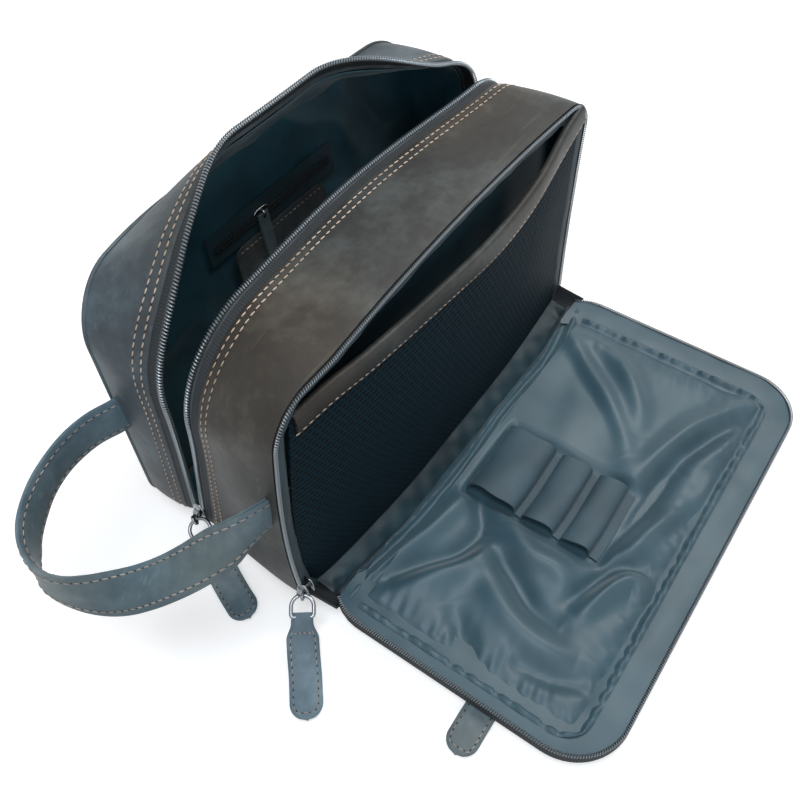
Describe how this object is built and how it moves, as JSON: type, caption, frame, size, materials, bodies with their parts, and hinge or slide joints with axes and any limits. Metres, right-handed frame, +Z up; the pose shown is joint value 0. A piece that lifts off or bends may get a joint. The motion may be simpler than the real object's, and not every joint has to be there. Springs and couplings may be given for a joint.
{
  "type": "toiletry bag",
  "caption": "Leather toiletry bag with a zipped main compartment, a fold-down front with a mesh pocket and elastic loops, and a strap handle on its end.",
  "frame": {"origin": "centre of the base's underside between the front opening's plane and the back seam", "axes": "+X along the bag's length, away from the handle's end; +Y from the fold-down front to the back; +Z up"},
  "size_m": [0.3223, 0.2766, 0.1817],
  "materials": {
    "leather_brown": "waxed, worn",
    "leather_dark": "waxed, worn",
    "black_fabric": "woven nylon",
    "slate_lining": "satin",
    "black_mesh": "knitted mesh",
    "black_elastic": "ribbed elastic",
    "zip_coil": "moulded coil",
    "gunmetal": "polished gunmetal plating"
  },
  "bodies": {
    "front_half": {"base_panel": "leather_dark", "base_stiffener": "black_fabric", "front_band": "leather_brown", "front_band_lining": "black_fabric", "main_zip_tape_front": "black_fabric", "main_zip_coil_front": "zip_coil", "divider_panel": "black_fabric", "clamshell_zip_tape_body": "black_fabric", "clamshell_zip_coil_body": "zip_coil", "front_compartment_lining": "slate_lining", "hinge_fold": "leather_dark", "mesh_pocket": "black_mesh", "mesh_pocket_binding": "leather_brown", "handle_stub_front": "leather_dark", "handle_stub_back": "leather_dark"},
    "back_half": {"back_panel": "leather_dark", "back_lining": "black_fabric", "back_band_left": "leather_brown", "back_lining_left": "black_fabric", "main_zip_tape_left": "black_fabric", "main_zip_coil_left": "zip_coil", "back_band_right": "leather_brown", "back_lining_right": "black_fabric", "main_zip_tape_right": "black_fabric", "main_zip_coil_right": "zip_coil", "inner_patch": "leather_brown", "inner_pocket_tape": "black_fabric", "inner_pocket_chain": "zip_coil"},
    "back_top": {"back_top_band": "leather_brown", "back_top_lining": "black_fabric", "back_top_tape": "black_fabric", "back_top_coil": "zip_coil"},
    "front_door": {"door_panel": "leather_brown", "door_rim_band": "black_fabric", "clamshell_zip_tape_door": "black_fabric", "clamshell_zip_coil_door": "zip_coil", "door_pocket_tape": "black_fabric", "door_pocket_chain": "zip_coil", "door_lining": "slate_lining", "elastic_loops": "black_elastic"},
    "handle_loop": {"handle_inner_strap": "leather_dark", "handle_outer_strap": "leather_dark"},
    "main_zip_slider": {"main_slider": "gunmetal"},
    "main_zip_ring": {"main_ring": "gunmetal"},
    "main_zip_tab": {"main_tab": "leather_dark"},
    "clamshell_zip_slider": {"clamshell_slider": "gunmetal"},
    "clamshell_zip_ring": {"clamshell_ring": "gunmetal"},
    "clamshell_zip_tab": {"clamshell_tab": "leather_dark"},
    "door_zip_slider": {"door_pocket_slider": "gunmetal"},
    "door_zip_ring": {"door_pocket_ring": "gunmetal"},
    "door_zip_tab": {"door_pocket_tab": "leather_dark"},
    "inner_zip_slider": {"inner_pocket_slider": "gunmetal"},
    "inner_zip_puller": {"inner_pocket_puller": "leather_dark"}
  },
  "joints": [
    {"name": "mouth_hinge", "type": "hinge", "parent": "front_half", "child": "back_half", "pos_m": [0, 0.051, 0.002], "axis": [1, 0, 0], "range_deg": [0, 5.5]},
    {"name": "top_fold", "type": "hinge", "parent": "back_half", "child": "back_top", "pos_m": [0, 0.066, 0.1466], "axis": [1, 0, 0], "range_deg": [0, 50.01]},
    {"name": "door_hinge", "type": "hinge", "parent": "front_half", "child": "front_door", "pos_m": [0, -0.0634, 0.0022], "axis": [-1, 0, 0], "range_deg": [0, 90]},
    {"name": "handle_swing", "type": "hinge", "parent": "front_half", "child": "handle_loop", "pos_m": [-0.137, -0.045, 0.087], "axis": [0, 0.9881, -0.1537], "range_deg": [0, 60]},
    {"name": "main_slide", "type": "slide", "parent": "front_half", "child": "main_zip_slider", "axis": [0, -0.1676, 0.9859], "range_m": [0, 0.045]},
    {"name": "main_ring_hinge", "type": "hinge", "parent": "main_zip_slider", "child": "main_zip_ring", "pos_m": [-0.1299, 0.01542, 0.01929], "axis": [-0.8196, 0.4385, -0.3688], "range_deg": [0, 50]},
    {"name": "main_tab_hinge", "type": "hinge", "parent": "main_zip_ring", "child": "main_zip_tab", "pos_m": [-0.13351, 0.00639, 0.01658], "axis": [-0.8196, 0.4385, -0.3688], "range_deg": [0, 40]},
    {"name": "clamshell_slide", "type": "slide", "parent": "front_half", "child": "clamshell_zip_slider", "axis": [0, 0, 1], "range_m": [0, 0.085]},
    {"name": "clamshell_ring_hinge", "type": "hinge", "parent": "clamshell_zip_slider", "child": "clamshell_zip_ring", "pos_m": [-0.1307, -0.0535, 0.01825], "axis": [-0.6, 0.8, 0], "range_deg": [0, 50]},
    {"name": "clamshell_tab_hinge", "type": "hinge", "parent": "clamshell_zip_ring", "child": "clamshell_zip_tab", "pos_m": [-0.13847, -0.05933, 0.01549], "axis": [-0.6, 0.8, 0], "range_deg": [0, 40]},
    {"name": "door_pocket_slide", "type": "slide", "parent": "front_door", "child": "door_zip_slider", "axis": [1, 0, 0], "range_m": [0, 0.15]},
    {"name": "door_pocket_ring_hinge", "type": "hinge", "parent": "door_zip_slider", "child": "door_zip_ring", "pos_m": [-0.08865, -0.148, 0.0021], "axis": [0, -1, 0], "range_deg": [0, 60]},
    {"name": "door_pocket_tab_hinge", "type": "hinge", "parent": "door_zip_ring", "child": "door_zip_tab", "pos_m": [-0.09905, -0.148, 0.0021], "axis": [0, -1, 0], "range_deg": [0, 40]},
    {"name": "inner_pocket_slide", "type": "slide", "parent": "back_half", "child": "inner_zip_slider", "axis": [1, 0, 0], "range_m": [-0.03, 0.05]},
    {"name": "inner_pocket_puller_hinge", "type": "hinge", "parent": "inner_zip_slider", "child": "inner_zip_puller", "pos_m": [-0.01, 0.05768, 0.11036], "axis": [-1, 0, 0], "range_deg": [0, 90]}
  ],
  "couplings": [
    {"joint": "top_fold", "follows": "mouth_hinge", "ratio": 9.0909}
  ]
}
